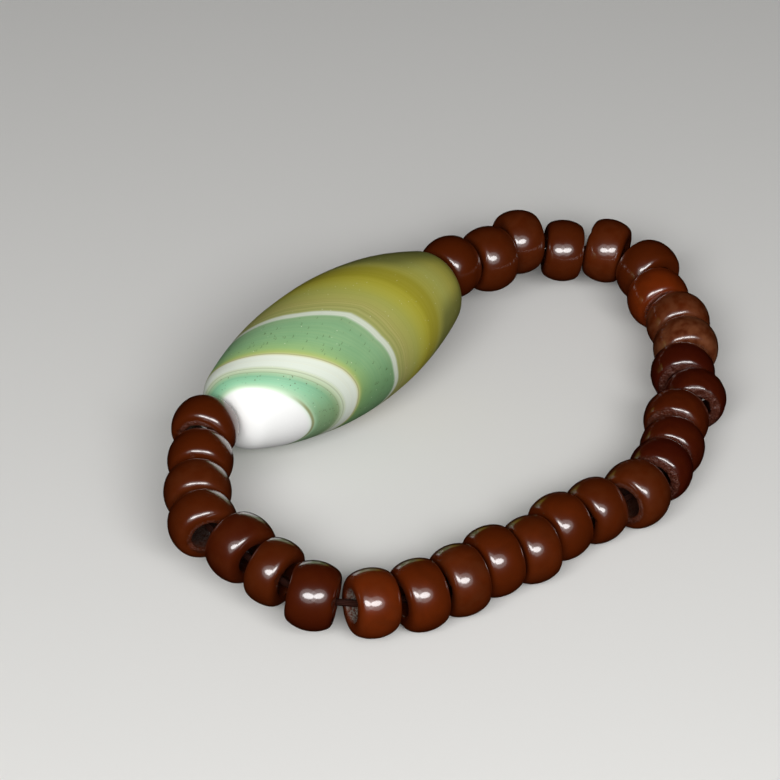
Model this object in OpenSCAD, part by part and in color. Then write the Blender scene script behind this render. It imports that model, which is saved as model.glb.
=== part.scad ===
// Wrist bracelet of drilled stone beads on one closed cord, lying on a flat surface.
// One large banded agate bead carries the pattern, and twenty-nine small carnelian beads fill the rest.
// Millimetres, +Z up. The large bead's hole runs along X at the back, and the small beads loop to the front.
// The origin is the middle of the bracelet's box, on the surface that it lies on.

/* [Large bead] */
// Length of the large bead from end face to end face
big_len = 38; // [36:0.5:38.5]
// Greatest width of the large bead
big_w = 17.2; // [15:0.2:18]
// Radius of the long arc of its side
big_crown = 44; // [40:1:60]
// Radius that rounds its ends into the end faces
big_round = 3.2; // [2:0.2:3.6]
// Width of the hole through it
big_bore = 2.6; // [2:0.1:3.4]

/* [Small beads] */
// Usual width of a small bead
bead_w = 8; // [7.4:0.1:8.2]
// Usual length of a small bead along its hole
bead_len = 4.7; // [4:0.05:4.7]
// Radius of its crowned side, nearly a ball's
bead_crown = 4.2; // [4:0.1:8]
// Radius that rounds its side into the end faces
bead_round = 1.3; // [1:0.1:1.6]
// Width of the large hole through it
bead_bore = 3.5; // [3.2:0.1:3.6]

/* [Cord] */
// Width of the elastic cord
cord_w = 0.8; // [0.5:0.1:1]
// Rings of the swept cord along the whole loop
cord_rings = 78; // [60:1:80]

/* [Hidden] */
$fn = 128;
// Sides of the cord's tube
CORD_SIDES = 8;
// Middle of the large bead, seen from above
BIG_X = -4;
BIG_Y = 18.5;

// The cord's closed route, from the large bead's left face round the front to its right face and back
// through its hole: [x, y, height].
ROUTE = [
    [BIG_X - big_len / 2, BIG_Y, big_w / 2],
    [-30, 16, 8.2],
    [-36, 10, 7.2],
    [-38, 1.5, 6.2],
    [-36.5, -7.5, 5.2],
    [-31, -14, 4.1],
    [-23.5, -17.5, 4],
    [-13.5, -19.5, 3.8],
    [-3.5, -21, 3.8],
    [4.5, -22, 3.8],
    [12.5, -20, 3.8],
    [20.5, -15.5, 4.1],
    [27.5, -10, 4.5],
    [32.5, -5, 4.9],
    [36.5, 2, 5.5],
    [37.5, 8.5, 6],
    [34, 14, 6.8],
    [28, 17.5, 7.8],
    [20.5, 19, 8.5],
    [BIG_X + big_len / 2, BIG_Y, big_w / 2],
    [BIG_X, BIG_Y, big_w / 2]
];
RIGHT_FACE = len(ROUTE) - 2;

// How each small bead differs from the usual one, from the large bead's left end round to its right end.
// Columns: extra length, extra width, extra room before it, shift out of the loop, shift up, turn about Z.
BEADS = [
    [-0.3, -0.2, 0.5, 0.3, 0.5, 12],
    [-0.2, -0.4, -0.1, -0.5, 0, 4],
    [-0.1, -0.3, 0, -0.4, 0, -2],
    [-0.2, -0.2, 0, 0.5, 0.2, -11],
    [-0.1, -0.1, 0.3, -0.7, 0.2, -5],
    [-0.7, -0.4, 0.2, -0.5, 0, -1],
    [0.6, -0.3, 0.1, 1, 0.3, 5],
    [0.2, -0.3, 0.3, 0.7, 0.2, 15],
    [0, 0.1, -0.1, 0, 0, 4],
    [-0.1, 0.1, -0.2, -0.2, 0, -2],
    [-0.1, 0.1, -0.2, -0.7, 0, -8],
    [-0.2, -0.3, -0.4, 0.2, 0, -8],
    [0.1, -0.2, -0.1, -0.8, 0, -2],
    [-0.1, -0.4, -0.2, -0.4, 0, 2],
    [0.1, 0, 0.1, 0.4, 0.1, 10],
    [-0.1, -0.4, 0, 0, 0.3, 6],
    [-0.1, -0.3, -0.3, -0.4, 0, 0],
    [-0.2, -0.1, -0.2, -0.9, 0.3, -6],
    [-0.2, -0.3, -0.3, 0.9, 0.1, 0],
    [-0.1, -0.1, -0.3, -0.5, 0.1, 2],
    [0.1, 0, -0.2, 0.2, 0.1, 3],
    [0.1, 0, -0.2, 0, 0, 0],
    [0.1, -0.2, -0.1, -0.8, 0, -1],
    [0.1, 0.2, 0, 0.8, 0, 1],
    [0.1, 0.2, 0.7, 0.6, 0, 0],
    [0.1, -0.1, 0.3, -1, 0, -6],
    [0.2, 0.2, 0.1, 0.8, 0.4, -4],
    [0.3, 0.3, 0, -0.8, 0, -7],
    [0.3, -0.1, 0.1, 0.5, 0.5, -10]
];
COUNT = len(BEADS);

function bead_name(i) = str("bead_", i < 10 ? "0" : "", i);

// A smooth closed curve through the route's points: each stretch is a cubic between two of them.
function stretch(a, b, c, d, t) =
    b + t * (c - a) / 2 + t * t * (2 * a - 5 * b + 4 * c - d) / 2 + t * t * t * (3 * b - a - 3 * c + d) / 2;
function on_route(u) =
    let (n = len(ROUTE), i = floor(u))
    stretch(ROUTE[(i + n - 1) % n], ROUTE[i % n], ROUTE[(i + 1) % n], ROUTE[(i + 2) % n], u - i);

// The curve again, by the length of cord run out from the large bead's left face, with FINE dots a stretch.
FINE = 12;
DOTS = [for (k = [0:len(ROUTE) * FINE]) on_route(k / FINE)];
LAST = len(DOTS) - 1;
RUNS = [for (k = 0, s = 0; k <= LAST; s = s + norm(DOTS[min(k + 1, LAST)] - DOTS[k]), k = k + 1) s];
LOOP = RUNS[LAST];
ALONG = [for (axis = [0:2]) [for (k = [0:LAST]) [RUNS[k], DOTS[k][axis]]]];
function at_run(s) = [for (axis = [0:2]) lookup((s + LOOP) % LOOP, ALONG[axis])];
// The direction of the route at a place, taken over a short reach each way.
REACH = 1;
function heading(s) = let (d = at_run(s + REACH) - at_run(s - REACH)) d / norm(d);

// The small beads share out the cord between the large bead's faces, with the same room left after each.
function length_of(i) = bead_len + BEADS[i][0];
function width_of(i) = bead_w + BEADS[i][1];
function room_of(i) = BEADS[i][2];
function out_of(i) = BEADS[i][3];
function up_of(i) = BEADS[i][4];
function turn_of(i) = BEADS[i][5];
FREE_RUN = RUNS[RIGHT_FACE * FINE];
TAKEN = [for (i = 0, s = 0; i <= COUNT; s = s + (i < COUNT ? room_of(i) + length_of(i) : 0), i = i + 1) s];
SPARE = (FREE_RUN - TAKEN[COUNT]) / (COUNT + 1);
function seat_run(i) = TAKEN[i + 1] - length_of(i) / 2 + (i + 1) * SPARE;

// A bead sits a little off the route, as far as its hole lets it, and never below the surface.
function seat(i) =
    let (p = at_run(seat_run(i)), h = heading(seat_run(i)), out = [h.y, -h.x] / norm([h.x, h.y]))
    [p.x + out_of(i) * out.x, p.y + out_of(i) * out.y, max(p.z + up_of(i), width_of(i) / 2)];
function bearing(i) = let (h = heading(seat_run(i))) atan2(h.y, h.x) + turn_of(i);
function slope(i) = asin(heading(seat_run(i)).z);
SEATS = [for (i = [0:COUNT - 1]) [seat(i), bearing(i), slope(i), length_of(i), width_of(i)]];
BIG_SEAT = [BIG_X, BIG_Y, big_w / 2];

// The cord passes midway between the ends of two neighbours' holes, and straight through the large bead.
function along_hole(i) = let (b = bearing(i), t = slope(i)) [cos(b) * cos(t), sin(b) * cos(t), sin(t)];
function hole_end(i, way) = seat(i) + way * length_of(i) / 2 * along_hole(i);
function end_run(i, way) = seat_run(i) + way * length_of(i) / 2;
MEETS = [for (i = [0:COUNT - 2])
    let (s = (end_run(i, 1) + end_run(i + 1, -1)) / 2)
    [s, (hole_end(i, 1) + hole_end(i + 1, -1)) / 2 - at_run(s)]];
PULL = [for (axis = [0:2]) concat([[0, 0]], [for (m = MEETS) [m[0], m[1][axis]]], [[FREE_RUN, 0], [LOOP, 0]])];
function cord_at(s) = at_run(s) + [for (axis = [0:2]) lookup(s, PULL[axis])];

// A drilled barrel bead round Z: a crowned side, rounded ends, flat end faces and a round hole.
module barrel(length, width, crown, round, bore) {
    round_z = length / 2 - round;
    crown_r = width / 2 - crown;
    round_r = crown_r + sqrt(pow(crown - round, 2) - pow(round_z, 2));
    meet_z = round_z * crown / (crown - round);
    rotate_extrude()
        difference() {
            union() {
                intersection() {
                    translate([crown_r, 0]) circle(crown);
                    translate([0, -meet_z]) square([width, 2 * meet_z]);
                }
                for (side = [-1, 1]) translate([round_r, side * round_z]) circle(round);
                translate([0, -length / 2]) square([round_r, length]);
            }
            // All that lies inside the hole, and past the axis
            translate([-crown * 2, -length]) square([crown * 2 + bore / 2, length * 2]);
        }
}

module dzi_bead() {
    color("khaki")
        translate(BIG_SEAT)
            rotate([0, 90, 0])
                barrel(big_len, big_w, big_crown, big_round, big_bore);
}

module small_bead(i) {
    color("sienna")
        translate(SEATS[i][0])
            rotate([0, 90 - SEATS[i][2], SEATS[i][1]])
                barrel(SEATS[i][3], SEATS[i][4], bead_crown, bead_round, bead_bore);
}

// The cord is one closed tube: rings of points square to the route, each joined to the next.
module cord() {
    rings = [for (k = [0:cord_rings - 1]) let (s = k * LOOP / cord_rings) [cord_at(s), heading(s)]];
    points = [for (ring = rings)
        let (side = cross([0, 0, 1], ring[1]) / norm(cross([0, 0, 1], ring[1])), up = cross(ring[1], side))
        for (j = [0:CORD_SIDES - 1])
            ring[0] + cord_w / 2 * (cos(360 * j / CORD_SIDES) * side + sin(360 * j / CORD_SIDES) * up)];
    faces = [for (k = [0:cord_rings - 1], j = [0:CORD_SIDES - 1])
        let (next = (k + 1) % cord_rings, turn = (j + 1) % CORD_SIDES)
        [k * CORD_SIDES + j, k * CORD_SIDES + turn, next * CORD_SIDES + turn, next * CORD_SIDES + j]];
    color("dimgray") polyhedron(points, faces);
}

dzi_bead();
for (i = [1:COUNT])
    small_bead(i - 1);
cord();
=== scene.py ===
# %% [markdown]
# A bracelet of old stone beads
#
# The object is a loop of stones on one elastic cord: a long agate bead with bands of white, green and khaki,
# and twenty-nine short carnelian beads, polished long ago and worn at their holes since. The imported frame
# already holds every stone at its real place and size. What it lacks is what makes a stone look like one:
# the layers inside it, the gloss, the dull drilled holes, and the small chips of years of wear. This lesson
# adds those, one finish at a time. Lengths on the stones are in millimetres, and MM turns them into metres.

import math

import bpy
import numpy as np
from mathutils import Matrix, Vector, noise


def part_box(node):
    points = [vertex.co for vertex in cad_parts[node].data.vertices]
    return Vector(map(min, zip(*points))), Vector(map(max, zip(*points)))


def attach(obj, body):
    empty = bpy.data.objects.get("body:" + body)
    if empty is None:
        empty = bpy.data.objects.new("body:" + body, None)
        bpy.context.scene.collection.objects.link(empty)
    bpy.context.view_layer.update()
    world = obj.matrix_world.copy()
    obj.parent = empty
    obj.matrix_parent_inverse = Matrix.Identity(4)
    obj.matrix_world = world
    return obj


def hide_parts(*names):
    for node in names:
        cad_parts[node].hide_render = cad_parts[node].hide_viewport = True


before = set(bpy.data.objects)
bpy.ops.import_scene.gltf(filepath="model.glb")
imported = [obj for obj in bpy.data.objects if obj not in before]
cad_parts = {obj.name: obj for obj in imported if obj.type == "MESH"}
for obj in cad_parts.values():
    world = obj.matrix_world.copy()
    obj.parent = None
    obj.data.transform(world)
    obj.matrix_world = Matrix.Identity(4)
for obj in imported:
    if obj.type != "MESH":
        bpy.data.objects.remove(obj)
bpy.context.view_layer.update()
MM = 0.001

BEAD_NAMES = sorted(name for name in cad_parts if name.startswith("bead_"))
print("stones in the frame:", len(BEAD_NAMES) + 1)

# %% [markdown]
# The camera comes first, because every later choice is judged through it. It looks down on the bracelet
# from the front left, over the large bead's near end. A long lens from a short way off keeps the loop's far
# side almost as large as its near side, and a turn, a rise and a distance say where it stands.

# %% Camera
LOOK_AT = Vector((2.84, 15.93, 0)) * MM
CAMERA_TURN = math.radians(-48.7)
CAMERA_RISE = math.radians(35)
CAMERA_AWAY = 330.2 * MM
LENS = 125
SENSOR_WIDTH = 36
NEAREST = 0.01


def toward(turn, rise):
    """The unit vector from the bracelet to a place that is turned round it and raised above the floor."""
    return Vector((math.sin(turn) * math.cos(rise), -math.cos(turn) * math.cos(rise), math.sin(rise)))


def aim(thing, place, target):
    """Puts a camera or a lamp at a place, looking at a target, with its top edge up."""
    thing.location = place
    thing.rotation_euler = (target - place).to_track_quat("-Z", "Y").to_euler()


camera = bpy.data.objects.new("camera", bpy.data.cameras.new("camera"))
camera.data.lens = LENS
camera.data.sensor_width = SENSOR_WIDTH
camera.data.clip_start = NEAREST
aim(camera, LOOK_AT + CAMERA_AWAY * toward(CAMERA_TURN, CAMERA_RISE), LOOK_AT)
bpy.context.scene.collection.objects.link(camera)
bpy.context.scene.camera = camera
print("camera at", [round(x / MM) for x in camera.location], "mm")

# %% [markdown]
# Every finish below is a node tree, and most of a node tree is sums. Python can write sums, so one small
# class wraps the socket that a node gives out and turns each operator into a Math node. All other nodes come
# from its one method, which sets the node's own settings first and then the values or links of its inputs.
# The reflected operators are there so that a plain number may stand on the left, as in 1 - mask.

# %% Sums on sockets
class Wire:
    """What a node gives out. Sums on it add Math nodes to the same tree."""

    def __init__(self, tree, socket=None):
        self.tree = tree
        self.socket = socket

    def node(self, kind, settings=(), inputs=(), out=0):
        """A new node: its settings first, then its inputs by name or number, then the wanted output."""
        made = self.tree.nodes.new(kind)
        for name, value in dict(settings).items():
            if name == "stops":
                self.set_stops(made.color_ramp.elements, value)
            else:
                setattr(made, name, value)
        for name, value in dict(inputs).items():
            self.feed(made.inputs[name], value)
        return Wire(self.tree, made.outputs[out])

    def set_stops(self, elements, stops):
        """Fills a ramp with (place, colour) stops."""
        while len(elements) > 1:
            elements.remove(elements[-1])
        for number, (place, colour) in enumerate(stops):
            stop = elements[0] if number == 0 else elements.new(place)
            stop.position = place
            stop.color = (*colour, 1)

    def feed(self, socket, value):
        """Links a wire to a socket, or sets a plain value on it."""
        if isinstance(value, Wire):
            self.tree.links.new(value.socket, socket)
        else:
            socket.default_value = value

    def sum(self, operation, *values):
        return self.node("ShaderNodeMath", {"operation": operation}, dict(enumerate(values)))

    def __add__(self, other):
        return self.sum("ADD", self, other)

    __radd__ = __add__

    def __sub__(self, other):
        return self.sum("SUBTRACT", self, other)

    def __rsub__(self, other):
        return self.sum("SUBTRACT", other, self)

    def __mul__(self, other):
        return self.sum("MULTIPLY", self, other)

    __rmul__ = __mul__

    def __truediv__(self, other):
        return self.sum("DIVIDE", self, other)

    def __abs__(self):
        return self.sum("ABSOLUTE", self)

    def __lt__(self, other):
        return self.sum("LESS_THAN", self, other)

    def rise(self, low, high):
        """0 below low, 1 above high and a smooth rise between. With low above high it falls instead."""
        settings = {"interpolation_type": "SMOOTHSTEP"}
        return self.node("ShaderNodeMapRange", settings, {"Value": self, 1: low, 2: high, 3: 0, 4: 1})

    def between(self, low, high, soft):
        """1 inside a range, with soft edges."""
        return self.rise(low - soft, low + soft) * self.rise(high + soft, high - soft)

    def blend(self, factor, under, over):
        """A colour: under where the factor is 0, over where it is 1."""
        return self.node("ShaderNodeMix", {"data_type": "RGBA"}, {0: factor, 6: under, 7: over}, out=2)


# %% [markdown]
# Colours are easiest to judge as they look on a screen, in values from 0 to 255. A shader wants the light
# that a surface really sends back, so one helper takes a screen colour there. Two more lay one colour over
# another and make the soft noise that breaks up an even finish, because every stone below needs both.

# %% Colours and materials
def paint(red, green, blue):
    """The light a surface sends back, from the colour that it has on a screen."""
    shares = [part / 255 for part in (red, green, blue)]
    return tuple(s / 12.92 if s <= 0.04045 else ((s + 0.055) / 1.055) ** 2.4 for s in shares)


def solid(colour):
    """The same colour with the fourth number that a colour socket holds."""
    return (*colour, 1)


def over(under, factor, colour):
    """A colour wire with a screen colour laid over it, as far as the factor says."""
    return under.blend(factor, under, solid(paint(*colour)))


def soft_noise(wire, place, scale, detail, **more):
    """Smooth noise from 0 to 1, with so many waves in one unit of the place."""
    return wire.node("ShaderNodeTexNoise", {}, {"Vector": place, "Scale": scale, "Detail": detail, **more})


def new_material(name):
    """A material with a Principled shader: the material, a wire to start its tree from, and the shader."""
    made = bpy.data.materials.new(name)
    made.use_nodes = True
    return made, Wire(made.node_tree), made.node_tree.nodes["Principled BSDF"]


# %% [markdown]
# The stage is a plain pale sheet and two soft boxes. On the real stones each polished bead shows one bright
# mark near its middle, in two parts side by side: the picture of two boxes that stand just beside the
# camera. Each part is brightest at its heart and fades outwards, as a box does whose bulb sits close behind
# its cloth, so each box here is two lamps: a small bright one in front of a wide dim one. Soft fill from all
# round keeps the far side of each stone readable. It is stronger from below, where a table sends the boxes'
# light back up. It is left out of the mirror images, because a dark polished stone shows every pale thing
# around it and would turn grey.

# %% Floor
FLOOR_REACH = 2.0
FLOOR_TONE = (232, 231, 228)
FLOOR_PALER = 5
MOTTLE_PER_METRE = 6

floor_mesh = bpy.data.meshes.new("floor")
corners = [(-1, -1), (1, -1), (1, 1), (-1, 1)]
floor_mesh.from_pydata([(x * FLOOR_REACH, y * FLOOR_REACH, 0) for x, y in corners], [], [(0, 1, 2, 3)])
floor = bpy.data.objects.new("floor", floor_mesh)
bpy.context.scene.collection.objects.link(floor)
floor.visible_glossy = False
floor.visible_diffuse = False
floor.visible_shadow = False

paper, wire, shader = new_material("paper_sheet")
place = wire.node("ShaderNodeTexCoord", out="Object")
mottle = soft_noise(wire, place, MOTTLE_PER_METRE, 3)
paler = tuple(part + FLOOR_PALER for part in FLOOR_TONE)
wire.feed(shader.inputs["Base Color"], wire.blend(mottle, solid(paint(*FLOOR_TONE)), solid(paint(*paler))))
shader.inputs["Roughness"].default_value = 0.9
shader.inputs["Specular IOR Level"].default_value = 0.2
floor_mesh.materials.append(paper)
print("floor", 2 * FLOOR_REACH, "m across")

# %% Lights
BOX_AWAY = 0.50
BOX_ASIDE = math.radians(18.2)
BOX_PARTS = [
    # name, distance behind the first part, width and height in metres, power in watts
    ("bright_middle", 0, 0.27, 0.145, 1.05),
    ("dim_cloth", 0.01, 0.47, 0.4, 0.5),
]
FILL_ABOVE = 0.085
FILL_BELOW = 0.18


def soft_box(name, turn, rise, away, wide, tall, power):
    """An oval lamp that faces the bracelet."""
    lamp = bpy.data.lights.new(name, "AREA")
    lamp.shape = "ELLIPSE"
    lamp.size = wide
    lamp.size_y = tall
    lamp.energy = power
    made = bpy.data.objects.new(name, lamp)
    aim(made, away * toward(turn, rise), Vector((0, 0, 0)))
    bpy.context.scene.collection.objects.link(made)


for side, side_name in ((-1, "left"), (1, "right")):
    for part, behind, wide, tall, power in BOX_PARTS:
        turn = CAMERA_TURN + side * BOX_ASIDE
        soft_box(part + "_" + side_name, turn, CAMERA_RISE, BOX_AWAY + behind, wide, tall, power)

print("two soft boxes of", sum(part[-1] for part in BOX_PARTS), "W each")

# %% Fill from all round
FILL_STARTS, FILL_FULL = 0.2, -0.6

world = bpy.data.worlds.new("studio")
world.use_nodes = True
backdrop = world.node_tree.nodes["Background"]
wire = Wire(world.node_tree)
direction = wire.node("ShaderNodeTexCoord", out="Generated")
height = wire.node("ShaderNodeSeparateXYZ", {}, {0: direction}, out="Z")
below = height.rise(FILL_STARTS, FILL_FULL)
wire.feed(backdrop.inputs["Strength"], below * (FILL_BELOW - FILL_ABOVE) + FILL_ABOVE)
backdrop.inputs["Color"].default_value = (1, 1, 1, 1)
bpy.context.scene.world = world
world.cycles_visibility.glossy = False
bpy.context.scene.view_settings.view_transform = "Standard"
print("fill", FILL_ABOVE, "from above and", FILL_BELOW, "from below")

# %% [markdown]
# A bead is a turned shape, so its mesh is a cut that runs round an axis. The cut goes up the hole's wall,
# over its softened rim, across the flat end, round the shoulder and down the crowned side. Drawing it from
# arcs keeps it exact, and an even spacing of its points gives room for chips later. A subdivided cylinder
# would be shorter to write, but its crown and shoulders would only be near the real ones.

# %% The cut of a barrel bead
EASING = 5
RIM_STEPS, FACE_STEPS = 5, 4
SMALL_CROWN, SMALL_SHOULDER, SMALL_BORE, SMALL_RIM = 4.2, 1.0, 3.5, 0.3
SMALL_SPACING = 0.13


def arc(middle, radius, start, end, count):
    """Points on an arc, from one angle to another, without the last one."""
    angles = np.linspace(start, end, count, endpoint=False)
    return [(middle[0] + radius * math.cos(a), middle[1] + radius * math.sin(a)) for a in angles]


def line(start, end, count):
    """Points on a straight stretch, without the last one."""
    shares = np.linspace(0, 1, count, endpoint=False)
    return [(start[0] + s * (end[0] - start[0]), start[1] + s * (end[1] - start[1])) for s in shares]


def eased(cut):
    """The same closed cut with its sudden changes of curve softened."""
    for _ in range(EASING):
        cut = (np.roll(cut, 1, axis=0) + 2 * cut + np.roll(cut, -1, axis=0)) / 4
    return cut


def barrel_cut(length, width, crown, shoulder, bore, rim, spacing):
    """The closed cut of a drilled barrel as points (radius, height), once round from the hole's middle."""
    half = length / 2
    crown_middle = (width / 2 - crown, 0)
    shoulder_height = half - shoulder
    shoulder_middle = (crown_middle[0] + math.sqrt((crown - shoulder) ** 2 - shoulder_height ** 2),
                       shoulder_height)
    meet = math.atan2(shoulder_height, shoulder_middle[0] - crown_middle[0])
    rim_middle = (bore / 2 + rim, half - rim)

    def steps(reach):
        return max(2, round(reach / spacing))

    upper = line((bore / 2, 0), (bore / 2, half - rim), steps(half) // 3 + 3)
    upper += arc(rim_middle, rim, math.pi, math.pi / 2, RIM_STEPS)
    upper += line((rim_middle[0], half), (shoulder_middle[0], half), FACE_STEPS)
    upper += arc(shoulder_middle, shoulder, math.pi / 2, meet, steps(shoulder * (math.pi / 2 - meet)))
    upper += arc(crown_middle, crown, meet, 0, steps(crown * meet))
    lower = [(r, -z) for r, z in reversed(upper[1:])]
    return eased(np.array(upper + [(width / 2, 0)] + lower))


def small_cut(length, width):
    """The cut of a small bead of a given length and width."""
    return barrel_cut(length, width, SMALL_CROWN, SMALL_SHOULDER, SMALL_BORE, SMALL_RIM, SMALL_SPACING)


print("points in a small bead's cut:", len(small_cut(4.7, 8)))

# %% [markdown]
# Turning the cut gives rings of points. Each point also needs the direction that faces out of the stone,
# because wear takes stone away along it: a chip is a dent pressed in along that direction, never a bump.

# %% Turning the cut into a mesh
class Turned:
    """A turned stone before it becomes a mesh: its points and their outward directions, in rings."""

    def __init__(self, cut, around):
        self.around = around
        self.rings = len(cut)
        angles = np.linspace(0, 2 * math.pi, around, endpoint=False)
        before, after = np.roll(cut, 1, axis=0), np.roll(cut, -1, axis=0)
        run = after - before
        outward = np.stack([-run[:, 1], run[:, 0]], axis=1)
        outward /= np.linalg.norm(outward, axis=1)[:, None]
        self.points = self.turn(cut, angles)
        self.outward = self.turn(outward, angles)
        self.worn, self.deep, self.chalk = np.zeros((3, len(self.points)))

    def turn(self, flat, angles):
        """Rings of (x, y, z) from points or directions (radius, height)."""
        x = flat[:, 0][:, None] * np.cos(angles)
        y = flat[:, 0][:, None] * np.sin(angles)
        z = np.repeat(flat[:, 1][:, None], len(angles), axis=1)
        return np.stack([x, y, z], axis=2).reshape(-1, 3)

    def faces(self):
        """Four-sided faces that close the mesh both ways round."""
        found = []
        for ring in range(self.rings):
            here, there = ring * self.around, (ring + 1) % self.rings * self.around
            for k in range(self.around):
                nearby = (k + 1) % self.around
                found.append((here + k, there + k, there + nearby, here + nearby))
        return found

    def take_away(self, depth):
        """Presses each point in by its own depth."""
        self.points -= self.outward * depth[:, None]

    def piece(self, name, seat, values):
        """The finished mesh object at its seat in the shared frame, with named values on its points."""
        mesh = bpy.data.meshes.new(name)
        placed = (self.points * MM) @ np.array(seat.to_3x3()).T + np.array(seat.translation)
        mesh.from_pydata(placed.tolist(), [], self.faces())
        mesh.update()
        mesh.shade_smooth()
        for key, numbers in values.items():
            layer = mesh.attributes.new(key, "FLOAT", "POINT")
            layer.data.foreach_set("value", np.asarray(numbers, np.float32))
        made = bpy.data.objects.new(name, mesh)
        bpy.context.scene.collection.objects.link(made)
        return made


# %% [markdown]
# Where does each bead sit, and which way does its hole run? The frame knows. A bead's only flat faces are
# its two ends, so the direction that most of its flat area faces is the hole's. The length and width then
# follow from how far its points reach along and across that direction.

# %% Reading a bead's seat from the frame
def hole_direction(node):
    """The direction that the largest flat area of a node faces."""
    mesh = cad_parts[node].data
    normals = np.array([face.normal[:] for face in mesh.polygons])
    areas = np.array([face.area for face in mesh.polygons])
    same = np.abs(normals @ normals.T) > 0.99999
    return Vector(normals[int(np.argmax(same @ areas))])


def seat_of(node):
    """The matrix of a node's place, with its hole along Z, and its length and width in millimetres."""
    points = np.array([v.co[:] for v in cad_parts[node].data.vertices])
    low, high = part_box(node)
    middle = (low + high) / 2
    axis = hole_direction(node)
    offsets = points - np.array(middle)
    along = offsets @ np.array(axis)
    across = np.linalg.norm(offsets - np.outer(along, np.array(axis)), axis=1)
    up = Vector((0, 0, 1))
    side = up.cross(axis).normalized()
    turned = Matrix((side, axis.cross(side), axis)).transposed().to_4x4()
    turned.translation = middle
    return turned, (along.max() - along.min()) / MM, 2 * across.max() / MM


for node in ("dzi_bead", "bead_01", "bead_08"):
    seat, long, wide = seat_of(node)
    hole = [round(x, 2) for x in seat.col[2][:3]]
    print(node, round(long, 2), "mm long,", round(wide, 2), "mm wide, hole along", hole)

# %% [markdown]
# The large bead is agate, and its pattern isn't painted on. Agate grows in thin layers, and the bead was cut
# across them, so every band is a slice of one tilted, gently curved layer. The finish works the same way:
# from a point's place in the stone it finds how deep among the layers it lies, and a ramp gives each depth
# its colour. Even layers then meet correctly from every side. A texture that was wrapped round the bead would
# need a seam, and its bands wouldn't curve as cut layers do.

# %% The layers' depth
LAYER_ALONG = 0.71
LAYER_ACROSS = 0.67
LAYER_CURVE = -0.033
FLATTEST = -5.2


def minus(wire, place, other):
    """The difference of two vectors."""
    return wire.node("ShaderNodeVectorMath", {"operation": "SUBTRACT"}, {0: place, 1: other}, out="Vector")


def stone_place(wire, middle):
    """The place of a point in its stone, in millimetres from the stone's middle."""
    offset = minus(wire, wire.node("ShaderNodeTexCoord", out="Object"), middle)
    longer = {0: offset, "Scale": 1 / MM}
    return wire.node("ShaderNodeVectorMath", {"operation": "SCALE"}, longer, out="Vector")


def flat_layers(wire, place):
    """The depth among even layers in millimetres, and the turn round the bead in degrees."""
    x, y, z = (wire.node("ShaderNodeSeparateXYZ", {}, {0: place}, out=axis) for axis in ("X", "Y", "Z"))
    plain = x * LAYER_ALONG + y * LAYER_ACROSS
    turn = wire.sum("ARCTAN2", z, 0 - y) * (180 / math.pi)
    return plain + z * LAYER_CURVE * (plain - FLATTEST), turn


# %% [markdown]
# Real layers aren't even, and the eye follows every bend of a white band. The white thread has a sharp
# corner high on the bead and sinks on the low side, the broad white band bends a little both ways, and the
# cap reaches further along on the low side. Each bend is a height in millimetres that shifts the depth, over
# some of the turn round the bead and near one layer alone. A noise bends them too, but only a little,
# because it never bends them at the right places. This way has one fault: the turn jumps from 180 to -180
# degrees along the middle of the bead's back, so the bends and the painted shade of the low side break off
# there, and a seam shows from behind. It would go if each of them faded out before it reached the back.

# %% The layers' bends
# Each range of layers is a depth, a greater depth and the softness of its edges, all in millimetres. Each
# pair of turns says where a change starts and where it is full, in degrees.
WHITE_THREAD = (-6.2, -2.4, 1.2)
BROAD_BAND = (-9.9, -8.3, 0.6)
CREASE_TURN, CREASE_REACH, CREASE_HEIGHT = 62, 28, 0.55
SWELL_TURN, SWELL_REACH, SWELL_HEIGHT = 26, 32, 0.15
LOW_SINK, LOW_THIN, LOW_CAP = 0.65, 0.28, 0.62
SINK_TURNS, THIN_TURNS, CAP_TURNS = (6, -24), (8, -24), (56, -8)
CAP_LAYERS = (-11.8, -12.9)
SWAY_PER_MM, SWAY = 0.13, 0.1


def tent(wire, turn, middle, reach, height):
    """A height at one turn that falls evenly to nothing on both sides of it."""
    return wire.sum("MAXIMUM", 1 - abs(turn - middle) / reach, 0) * height


def layer_depth(wire, place):
    """How far among the layers a point lies, with their bends, and its turn round the bead."""
    depth, turn = flat_layers(wire, place)
    sway = soft_noise(wire, place, SWAY_PER_MM, 1) - 0.5
    thread = tent(wire, turn, CREASE_TURN, CREASE_REACH, CREASE_HEIGHT) + turn.rise(*SINK_TURNS) * LOW_SINK
    band = tent(wire, turn, SWELL_TURN, SWELL_REACH, SWELL_HEIGHT) - turn.rise(*THIN_TURNS) * LOW_THIN
    cap = turn.rise(*CAP_TURNS) * depth.rise(*CAP_LAYERS) * LOW_CAP
    bent = depth + sway * SWAY - thread * depth.between(*WHITE_THREAD) - band * depth.between(*BROAD_BAND)
    return bent + cap, turn


print("bends of the white thread:", CREASE_HEIGHT, "mm up and", LOW_SINK, "mm down")

# %% [markdown]
# The ramp's stops are the stone's layers from the near end to the far one: a milk-white cap, a mint edge,
# a teal band, cream threads, a broad white band, sage green, one thin white thread, and khaki that deepens
# to mustard. They are written as depths in millimetres beside plain colours.

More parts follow.
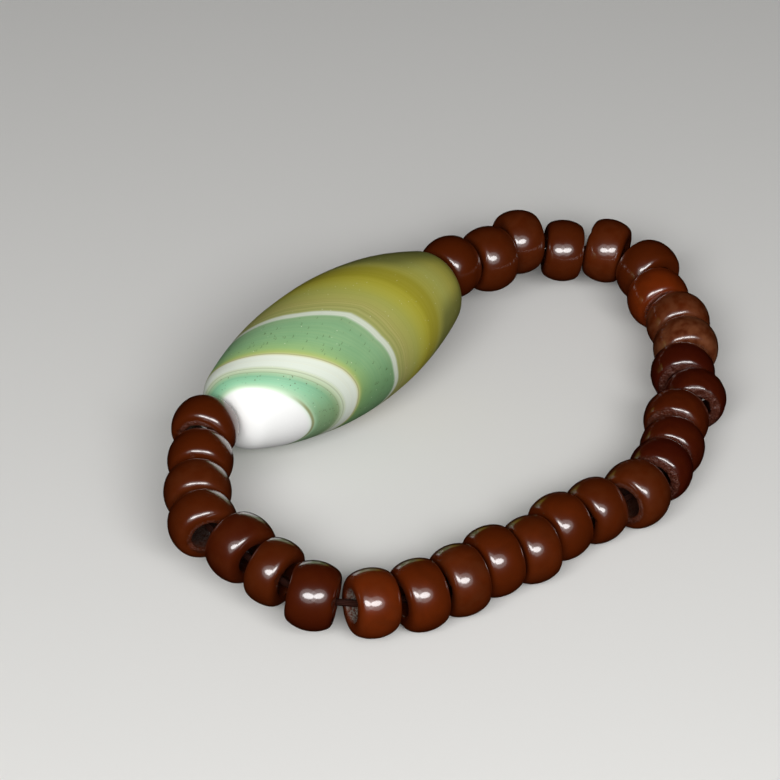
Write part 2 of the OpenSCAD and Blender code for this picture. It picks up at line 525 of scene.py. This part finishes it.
# %% The layers' colours
LAYERS = [
    (-13.0, (252, 252, 250)),
    (-12.75, (246, 251, 244)),
    (-12.55, (210, 234, 204)),
    (-12.38, (178, 214, 176)),
    (-12.1, (148, 206, 166)),
    (-11.5, (132, 190, 152)),
    (-11.2, (156, 194, 154)),
    (-10.9, (192, 210, 178)),
    (-10.6, (203, 216, 188)),
    (-10.4, (220, 228, 215)),
    (-9.4, (224, 230, 215)),
    (-9.15, (206, 208, 153)),
    (-8.98, (170, 188, 106)),
    (-8.6, (150, 184, 118)),
    (-7.6, (134, 178, 128)),
    (-6.0, (134, 176, 130)),
    (-5.35, (143, 178, 132)),
    (-5.2, (211, 219, 201)),
    (-4.85, (211, 219, 201)),
    (-4.7, (160, 165, 98)),
    (-3.4, (170, 167, 92)),
    (-2.0, (169, 170, 84)),
    (-0.9, (178, 174, 68)),
    (0.1, (177, 169, 50)),
    (0.7, (164, 155, 40)),
    (2.0, (160, 152, 44)),
    (2.6, (172, 167, 70)),
    (4.5, (174, 174, 88)),
    (6.5, (172, 166, 74)),
    (8.2, (140, 136, 52)),
    (10.5, (128, 124, 50)),
]
DEPTH_LOW, DEPTH_HIGH = -15, 12


def depth_share(depth):
    """A depth's place on the ramp."""
    return (depth - DEPTH_LOW) / (DEPTH_HIGH - DEPTH_LOW)


print("layers on the ramp:", len(LAYERS))

# %% [markdown]
# The ramp gives flat bands. The real ones have fine threads in them where the growth was slow, an olive edge
# beside each white, and clouds in the green. Two more are painted shade: the teal and green darker low on the
# bead, and the far end greyer where it turns away from the lamps. Each is one more colour, laid over the last
# where its own layers and its own side of the bead meet.

# %% Agate: bands
AGATE_MIDDLE = (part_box("dzi_bead")[0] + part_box("dzi_bead")[1]) / 2
THREADS_PER_MM = 5
CLOUDS_PER_MM = 0.22
KHAKI_THREADS, CREAM_THREADS = (-4.5, -3.2, 0.3), (-11.1, -10.5, 0.1)
CAP_EDGE, BAND_EDGE = (-12.62, -12.42, 0.07), (-9.22, -9.12, 0.04)
CLOUDED_LAYERS = (-8.6, -5.5, 0.4)
TEAL_SHADE_LAYERS, GREEN_SHADE_LAYERS = (-12.3, -11.0, 0.3), (-8.95, -5.4, 0.15)
PAST_CAP, FAR_LAYERS = (-12.5, -12), (2.0, 4.2)
EDGE_TURNS, TEAL_SHADE_TURNS, GREEN_SHADE_TURNS = (34, 4), (34, -12), (30, -10)
LAMP_FACING_TURN, FAR_SHADE_TURNS = 50, (14, 42)
CREAM, SHADE, OLIVE_EDGE = (196, 180, 120), (110, 104, 40), (128, 120, 50)
GREEN_CLOUD, FAR_END_SHADE, TEAL_PAINTED_SHADE, GREEN_PAINTED_SHADE = (112, 158, 112), (115, 117, 56), (122, 142, 92), (100, 142, 92)

agate, wire, shader = new_material("banded_agate")
place = stone_place(wire, AGATE_MIDDLE)
depth, turn = layer_depth(wire, place)
stops = [(depth_share(level), paint(*colour)) for level, colour in LAYERS]
layers = wire.node("ShaderNodeValToRGB", {"stops": stops}, {0: depth_share(depth)})

growth = {"W": depth, "Scale": THREADS_PER_MM, "Detail": 2}
threads = wire.node("ShaderNodeTexNoise", {"noise_dimensions": "1D"}, growth)
threads_near = depth.between(*KHAKI_THREADS) * 0.18 + depth.between(*CREAM_THREADS) * 0.3
threads_near = threads_near + depth.rise(*PAST_CAP) * 0.06
bands = over(layers, threads.rise(0.5, 0.62) * threads_near, CREAM)
bands = over(bands, threads.rise(0.5, 0.38) * threads_near, SHADE)

cap_edge = depth.between(*CAP_EDGE) * turn.rise(*EDGE_TURNS) * 0.75
band_edge = depth.between(*BAND_EDGE) * 0.5
bands = over(bands, cap_edge + band_edge, OLIVE_EDGE)

cloud = soft_noise(wire, place, CLOUDS_PER_MM, 3)
bands = over(bands, cloud.rise(0.4, 0.7) * depth.between(*CLOUDED_LAYERS) * 0.3, GREEN_CLOUD)
# painted shade: the far end greyer and darker where it turns away from the lamps, which face it at about 50
# degrees
turned_from_lamps = abs(turn - LAMP_FACING_TURN).rise(*FAR_SHADE_TURNS)
bands = over(bands, turned_from_lamps * depth.rise(*FAR_LAYERS) * 0.85, FAR_END_SHADE)
# painted shade: the teal and green layers darker on the low side of the bead, where the lamps light it less
bands = over(bands, turn.rise(*TEAL_SHADE_TURNS) * depth.between(*TEAL_SHADE_LAYERS) * 0.7, TEAL_PAINTED_SHADE)
bands = over(bands, turn.rise(*GREEN_SHADE_TURNS) * depth.between(*GREEN_SHADE_LAYERS) * 0.65, GREEN_PAINTED_SHADE)
print("agate nodes for the bands:", len(agate.node_tree.nodes))

# %% [markdown]
# Three kinds of small marks sit over the bands. Specks are brown grains, crowded in the teal band and few in
# the green one. Pinpricks are pale and lie all over but on the cap. Nicks are the tiny bow-shaped cracks that
# knocks leave in agate, each a short piece of a ring round a random centre. Cells with a random point in each
# give all three, at their real size of a tenth to a quarter of a millimetre.

# %% Agate: marks
TEAL_BAND = (-12.2, -11.0)
GREEN_BAND = (-8.7, -5.5)
SPECK, NICK, PINPRICK = (84, 66, 30), (78, 96, 44), (232, 236, 206)
NICK_SIDE = (0.45, -0.75, -0.48)
NICK_THIN, NICK_THICK = 0.01, 0.045
CROWDS_PER_MM = 0.7


def cells(wire, place, size, what):
    """What the cells of a given size say: Distance from the nearest point, Position of it, or Color."""
    return wire.node("ShaderNodeTexVoronoi", {}, {"Vector": place, "Scale": 1 / size}, out=what)


def lucky(wire, place, size, channel, share):
    """1 in some share of the cells and 0 in the rest, by one channel of their random colour."""
    chance = cells(wire, place, size, "Color")
    return wire.node("ShaderNodeSeparateColor", {}, {0: chance}, out=channel) < share


def dots(wire, place, size, radius, share):
    """Round dots of a given radius in a share of the cells."""
    away = cells(wire, place, size, "Distance") * size
    return away.rise(radius, radius * 0.4) * lucky(wire, place, size, "Red", share)


def nicks(wire, place, size, radius, share):
    """Bow-shaped cracks: one side of thin rings in a share of the cells."""
    away = cells(wire, place, size, "Distance") * size
    ring = abs(away - radius).rise(NICK_THICK, NICK_THIN)
    facing = {0: minus(wire, place, cells(wire, place, size, "Position")), 1: NICK_SIDE}
    lean = wire.node("ShaderNodeVectorMath", {"operation": "DOT_PRODUCT"}, facing, out="Value")
    return ring * lean.rise(radius * 0.45, radius * 0.7) * lucky(wire, place, size, "Green", share)


crowd = soft_noise(wire, place, CROWDS_PER_MM, 1).rise(0.38, 0.55)
# Each kind of mark has a size of its cells, a radius and a share of them that hold one
grains = dots(wire, place, 0.4, 0.1, 0.85) * depth.between(*TEAL_BAND, 0.2) * crowd
few = dots(wire, place, 0.8, 0.08, 0.5) * depth.between(*GREEN_BAND, 0.3)
bows = nicks(wire, place, 0.8, 0.24, 0.75) * depth.between(*GREEN_BAND, 0.2)
pricks = dots(wire, place, 0.6, 0.075, 0.35) * depth.rise(-12.6, -12.2)
marked = over(bands, wire.sum("MAXIMUM", grains, few) * 0.75, SPECK)
marked = over(marked, bows * 0.75, NICK)
marked = over(marked, pricks * 0.7, PINPRICK)
print("agate nodes with its marks:", len(agate.node_tree.nodes))

# %% [markdown]
# The bead is polished to a satin, not to a gloss, and has no coat. A rather rough surface gives its one
# broad, soft highlight. The marks are dents as well as colours, and a faint skin of noise keeps the satin
# from looking like plastic. A bump is enough for both, because neither is deep enough to show at the outline.

# %% Agate: satin shine
AGATE_IOR = 1.54
AGATE_ROUGH = 0.44
SKIN_PER_MM = 4
MARK_DEPTH = 0.12 * MM

skin = soft_noise(wire, place, SKIN_PER_MM, 4)
relief = grains * -0.6 + few * -0.6 + bows * -0.4 + skin * 0.08
bump = wire.node("ShaderNodeBump", {}, {"Strength": 0.5, "Distance": MARK_DEPTH, "Height": relief})
wire.feed(shader.inputs["Base Color"], marked)
wire.feed(shader.inputs["Roughness"], AGATE_ROUGH + skin * 0.1 + pricks * 0.2)
wire.feed(shader.inputs["Normal"], bump)
shader.inputs["IOR"].default_value = AGATE_IOR
print("agate nodes in all:", len(agate.node_tree.nodes))

# %% Large bead
BIG_CROWN, BIG_SHOULDER, BIG_BORE, BIG_RIM = 44, 3.2, 2.6, 0.35
BIG_AROUND, BIG_SPACING = 160, 0.24
BIG_UNEVEN_PER_MM, BIG_UNEVEN_DEPTH = 0.16, 0.12


def sheet_of_noise(points, scale, shift):
    """Smooth noise from 0 to 1 at each point."""
    return np.array([0.5 + 0.5 * noise.noise(Vector(p) * scale + shift) for p in points])


seat, length, width = seat_of("dzi_bead")
stone = Turned(barrel_cut(length, width, BIG_CROWN, BIG_SHOULDER, BIG_BORE, BIG_RIM, BIG_SPACING), BIG_AROUND)
stone.take_away(BIG_UNEVEN_DEPTH * sheet_of_noise(stone.points, BIG_UNEVEN_PER_MM, Vector()))
big_bead = stone.piece("dzi_bead_stone", seat, {})
big_bead.data.materials.append(agate)
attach(big_bead, "root")
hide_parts("dzi_bead")
print("large bead:", len(big_bead.data.polygons), "faces")

# %% [markdown]
# Carnelian is a red-brown chalcedony. Its polish acts as two surfaces at once: a hard shine that mirrors
# the soft boxes crisply, and just under it a blurred glow from the slightly cloudy stone. A coat over a
# rougher base gives exactly that pair. Where the stone is worn or was drilled, the polish is gone, and what
# shows is a rough, paler frost. Deep in the hole the wall is darkened as painted shade, and in four holes a
# pale grey lies on the wall. The mesh says where each is: every point carries how worn, how deep in the hole
# and how grey it is, and each bead how red or orange and how clouded it is, so one finish serves all
# twenty-nine.

# %% Carnelian
DARK_RED = (57, 13, 3)
RED_BROWN = (74, 26, 3)
ORANGE_BROWN = (106, 38, 5)
CLOUD_BROWN = (114, 66, 40)
FROST = (92, 56, 44)
HOLE_SHADE = (22, 10, 7)
HOLE_GREY = (142, 138, 130)
PIT = (30, 8, 4)
VEINS_PER_MM, MIST_PER_MM, GRIT_PER_MM = 0.35, 0.8, 5
PIT_CELL, PIT_RADIUS, PIT_SHARE = 1.6, 0.09, 0.3


def carried(wire, key):
    """A value that the mesh carries on its points."""
    return wire.node("ShaderNodeAttribute", {"attribute_name": key}, out="Fac")


carnelian, wire, shader = new_material("carnelian")
place = stone_place(wire, Vector((0, 0, 0)))
tone, haze, worn, deep, chalk = (carried(wire, key) for key in ("tone", "haze", "worn", "deep", "chalk"))
veins = soft_noise(wire, place, VEINS_PER_MM, 4, Distortion=0.6)
mist = soft_noise(wire, place, MIST_PER_MM, 5)
grit = soft_noise(wire, place, GRIT_PER_MM, 3)
grade = tone + (veins - 0.5) * 0.7
bare = (worn + (grit - 0.5) * 0.5).rise(0.25, 0.75)
pits = dots(wire, place, PIT_CELL, PIT_RADIUS, PIT_SHARE)

stone = wire.blend(grade.rise(-1, 0), solid(paint(*DARK_RED)), solid(paint(*RED_BROWN)))
stone = over(stone, grade.rise(0, 1), ORANGE_BROWN)
stone = over(stone, haze * mist.rise(0.3, 0.7), CLOUD_BROWN)
stone = over(stone, bare * grit.rise(0.3, 0.7) * 0.7, FROST)
stone = over(stone, pits * 0.6, PIT)
# painted shade: the hole's wall darker towards its middle, where little light reaches
stone = over(stone, deep * 0.75, HOLE_SHADE)
# a pale grey on the walls of four holes, by the share in the table
stone = over(stone, chalk * grit.rise(0.35, 0.6), HOLE_GREY)
wire.feed(shader.inputs["Base Color"], stone)
print("carnelian nodes for its colour:", len(carnelian.node_tree.nodes))

# %% Carnelian: polish
POLISH_ROUGH = 0.3
RELIEF_DEPTH = 0.1 * MM
RIPPLES_PER_MM, FACETS_PER_MM = 0.5, 2.4
RIPPLE_RELIEF, FACET_RELIEF, GRIT_RELIEF, PIT_RELIEF = 0.15, 6, 2, 0.3
FIXED = {"Specular IOR Level": 0.3, "IOR": 1.45, "Coat Roughness": 0.1, "Coat IOR": 1.64}

ripple = soft_noise(wire, place, RIPPLES_PER_MM, 2)
facets = soft_noise(wire, place, FACETS_PER_MM, 1)
relief = ripple * RIPPLE_RELIEF + facets * bare * FACET_RELIEF + grit * bare * GRIT_RELIEF - pits * PIT_RELIEF
bump = wire.node("ShaderNodeBump", {}, {"Strength": 0.6, "Distance": RELIEF_DEPTH, "Height": relief})
wire.feed(shader.inputs["Roughness"], POLISH_ROUGH + haze * 0.12 + bare * 0.1)
wire.feed(shader.inputs["Coat Weight"], 1 - bare * 0.3)
wire.feed(shader.inputs["Normal"], bump)
for socket, value in FIXED.items():
    shader.inputs[socket].default_value = value
print("carnelian nodes in all:", len(carnelian.node_tree.nodes))

# %% [markdown]
# The small beads are one family but no two are alike. A short table says how each differs, from the large
# bead's near end round the loop: its tone from dark red (-1) to orange (1), its haze, how uneven its polish
# is, how chipped its rims are, and how frosted its two ends are. Four of them also have a pale grey on the
# walls of their holes, and a second table says how much.

# %% How the small beads differ
LOOKS = [
    # tone, haze, uneven, chips, near end, far end
    (0.0, 0.0, 0.4, 9, 0.8, 0.6),
    (0.0, 0.0, 0.5, 4, 0.3, 0.3),
    (0.0, 0.1, 0.4, 4, 0.3, 0.5),
    (-0.1, 0.05, 0.2, 5, 0.2, 0.5),
    (-0.45, 0.05, 0.2, 2, 0.2, 0.3),
    (-0.15, 0.05, 0.4, 3, 0.2, 0.3),
    (-0.5, 0.0, 0.3, 2, 0.2, 0.2),
    (0.5, 0.05, 0.2, 4, 0.35, 0.3),
    (0.3, 0.0, 0.2, 2, 0.2, 0.2),
    (0.2, 0.1, 0.3, 3, 0.2, 0.2),
    (0.2, 0.0, 0.3, 3, 0.3, 0.2),
    (0.2, 0.05, 0.3, 4, 0.2, 0.3),
    (0.2, 0.0, 0.4, 3, 0.3, 0.2),
    (0.0, 0.05, 0.4, 4, 0.3, 0.3),
    (0.1, 0.1, 0.4, 5, 0.6, 0.3),
    (-0.8, 0.0, 0.8, 6, 0.9, 0.4),
    (-0.6, 0.0, 0.8, 5, 0.9, 0.3),
    (-0.4, 0.0, 0.9, 7, 0.9, 0.4),
    (-0.7, 0.0, 1.0, 9, 1.0, 0.8),
    (-0.8, 0.0, 0.8, 5, 0.9, 0.3),
    (0.1, 0.8, 0.4, 4, 0.5, 0.4),
    (0.2, 0.45, 0.7, 5, 0.7, 0.3),
    (0.6, 0.0, 0.6, 4, 0.7, 0.3),
    (0.1, 0.0, 0.5, 4, 0.3, 0.3),
    (0.2, 0.1, 0.4, 4, 0.3, 0.3),
    (-0.1, 0.05, 0.5, 5, 0.3, 0.3),
    (0.1, 0.1, 0.3, 3, 0.3, 0.3),
    (0.1, 0.05, 0.3, 3, 0.3, 0.3),
    (0.0, 0.0, 0.3, 3, 0.3, 0.3),
]
GREY_HOLES = {"bead_01": 0.2, "bead_04": 0.15, "bead_08": 0.8, "bead_15": 0.1}
print("looks in the table:", len(LOOKS))

# %% [markdown]
# Wear is made in the mesh, so that it shows at the outline too. First the whole stone is made a little
# uneven, as hand polishing leaves it. Then chips are struck along the rims: each takes stone from a round
# patch with a ragged edge, deepest at its middle. Last, the end rings are roughened. Everything is taken
# away and nothing is added, so a stone never grows past its seat.

# %% Wear on a small bead
SMALL_AROUND = 112
UNEVEN_PER_MM, UNEVEN_DEPTH = 0.2, 0.14
RIPPLE_PER_MM, RIPPLE_DEPTH = 1.3, 0.1
RAGGED_PER_MM, RAGGED_LEAST, RAGGED_MORE = 2.2, 0.7, 0.6
CHIP_SIZES, CHIP_PAST_RIM, CHIP_DEPTH, CHIP_WEAR = (0.25, 0.7), 1.1, 0.3, 0.35
ROUGH_PER_MM, ROUGH_DEPTH = 3.1, 0.07
RING_LEAST, RING_PER_WEAR, RING_SOFT = 0.3, 1.4, 0.5
WALL_PAST, WALL_SOFT, WALL_FROST, WALL_PER_WEAR = 0.12, 0.1, 0.2, 0.3
HOLE_SHADE_REACH = 1.6
SEED, SHIFT_MOST = 29, 40


def polish_unevenly(stone, uneven, shift):
    """Takes away long low waves, and on rough beads short ones too, as hand polishing does."""
    stone.take_away(UNEVEN_DEPTH * uneven * sheet_of_noise(stone.points, UNEVEN_PER_MM, shift))
    stone.take_away(RIPPLE_DEPTH * uneven ** 2 * sheet_of_noise(stone.points, RIPPLE_PER_MM, shift))


def strike_chips(stone, count, length, dice, shift):
    """Takes chips out of the two rims, and marks them worn."""
    depth = np.zeros(len(stone.points))
    ragged = sheet_of_noise(stone.points, RAGGED_PER_MM, shift)
    for _ in range(count):
        end = dice.choice([-1, 1])
        angle = dice.uniform(0, 2 * math.pi)
        reach = dice.uniform(SMALL_BORE / 2, SMALL_BORE / 2 + CHIP_PAST_RIM)
        size = dice.uniform(*CHIP_SIZES)
        heart = np.array([reach * math.cos(angle), reach * math.sin(angle), end * length / 2])
        near = np.linalg.norm(stone.points - heart, axis=1) / size * (RAGGED_LEAST + RAGGED_MORE * ragged)
        dish = np.clip(1 - near ** 2, 0, 1)
        depth = np.maximum(depth, CHIP_DEPTH * size * dish)
        stone.worn = np.maximum(stone.worn, np.clip(dish, 0, CHIP_WEAR))
    stone.take_away(depth)


def from_axis(stone):
    """How far each point is from the hole's axis."""
    return np.hypot(stone.points[:, 0], stone.points[:, 1])


def on_wall(stone):
    """1 on the wall of the hole and 0 outside it."""
    return np.clip((SMALL_BORE / 2 + WALL_PAST - from_axis(stone)) / WALL_SOFT, 0, 1)


def roughen_ends(stone, length, near_end, far_end, chalky, shift):
    """Frosts the hole's wall and each end ring as far as that end is worn, and marks painted shade deep in
    the hole.
    """
    z = stone.points[:, 2]
    end = np.where(z > 0, far_end, near_end)
    inside = on_wall(stone)
    from_rim = np.hypot(from_axis(stone) - SMALL_BORE / 2, length / 2 - np.abs(z))
    ring = np.clip((RING_LEAST + RING_PER_WEAR * end - from_rim) / RING_SOFT, 0, 1)
    frost = np.maximum(inside * (WALL_FROST + WALL_PER_WEAR * end), ring * end * (1 - inside))
    # how deep in the hole a point lies, for the painted shade there
    stone.deep = inside * np.clip((length / 2 - np.abs(z)) / HOLE_SHADE_REACH, 0, 1)
    stone.worn = np.maximum(stone.worn, frost)
    stone.take_away(ROUGH_DEPTH * frost * sheet_of_noise(stone.points, ROUGH_PER_MM, shift))
    # the share of pale grey on the hole's wall
    stone.chalk = chalky * on_wall(stone)


print("chips on all the beads:", sum(look[3] for look in LOOKS))

# %% The twenty-nine small beads
def facing_onward(number, seat):
    """The seat of a bead, turned over if need be, so that its far end faces the next bead."""
    onward = BEAD_NAMES[min(number + 1, len(BEAD_NAMES) - 1)]
    behind = BEAD_NAMES[max(number - 1, 0)]
    way = sum(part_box(onward), Vector()) - sum(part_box(behind), Vector())
    return seat @ Matrix.Rotation(math.pi, 4, "X") if way.dot(seat.col[2].to_3d()) < 0 else seat


for number, (node, look) in enumerate(zip(BEAD_NAMES, LOOKS)):
    tone, haze, uneven, chips, near_end, far_end = look
    seat, length, width = seat_of(node)
    dice = np.random.default_rng(SEED + number)
    shift = Vector([dice.uniform(-SHIFT_MOST, SHIFT_MOST) for _ in range(3)])
    stone = Turned(small_cut(length, width), SMALL_AROUND)
    polish_unevenly(stone, uneven, shift)
    strike_chips(stone, chips, length, dice, shift)
    roughen_ends(stone, length, near_end, far_end, GREY_HOLES.get(node, 0), shift)
    same = np.ones(len(stone.points))
    values = {"tone": tone * same, "haze": haze * same}
    values.update(worn=stone.worn, deep=stone.deep, chalk=stone.chalk)
    bead = stone.piece(node + "_stone", facing_onward(number, seat), values)
    bead.data.materials.append(carnelian)
    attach(bead, "root")
    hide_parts(node)
print("small beads:", len(BEAD_NAMES), "of about", len(bead.data.polygons), "faces")

# %% [markdown]
# The cord is elastic and hardly shows: a thread of it in the gaps, and a little inside the open holes. The
# frame holds it as a plain tube with flat sides, at its real place. Its shape is right for what shows, so the
# tube stays and gets a finish of its own: a matt covered elastic with fine ribs of thread round it.

# %% Elastic cord
RIBS_PER_MM, FUZZ_PER_MM = 2.2, 6
RIB_DEPTH = 0.08 * MM
CORD_DARK, CORD_LIGHT = (30, 10, 6), (52, 22, 13)

elastic, wire, shader = new_material("elastic_cord")
place = stone_place(wire, Vector((0, 0, 0)))
wound = {"Vector": place, "Scale": RIBS_PER_MM, "Distortion": 0.6}
ribs = wire.node("ShaderNodeTexWave", {"bands_direction": "DIAGONAL"}, wound)
fuzz = soft_noise(wire, place, FUZZ_PER_MM, 3)
thread_tone = wire.blend(ribs * 0.6 + fuzz * 0.4, solid(paint(*CORD_DARK)), solid(paint(*CORD_LIGHT)))
bump = wire.node("ShaderNodeBump", {}, {"Strength": 0.6, "Distance": RIB_DEPTH, "Height": ribs})
wire.feed(shader.inputs["Base Color"], thread_tone)
wire.feed(shader.inputs["Roughness"], 0.6 + fuzz * 0.25)
wire.feed(shader.inputs["Normal"], bump)
shader.inputs["Specular IOR Level"].default_value = 0.1
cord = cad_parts["cord"]
cord.data.materials.clear()
cord.data.materials.append(elastic)
print("cord slots:", len(cord.material_slots))
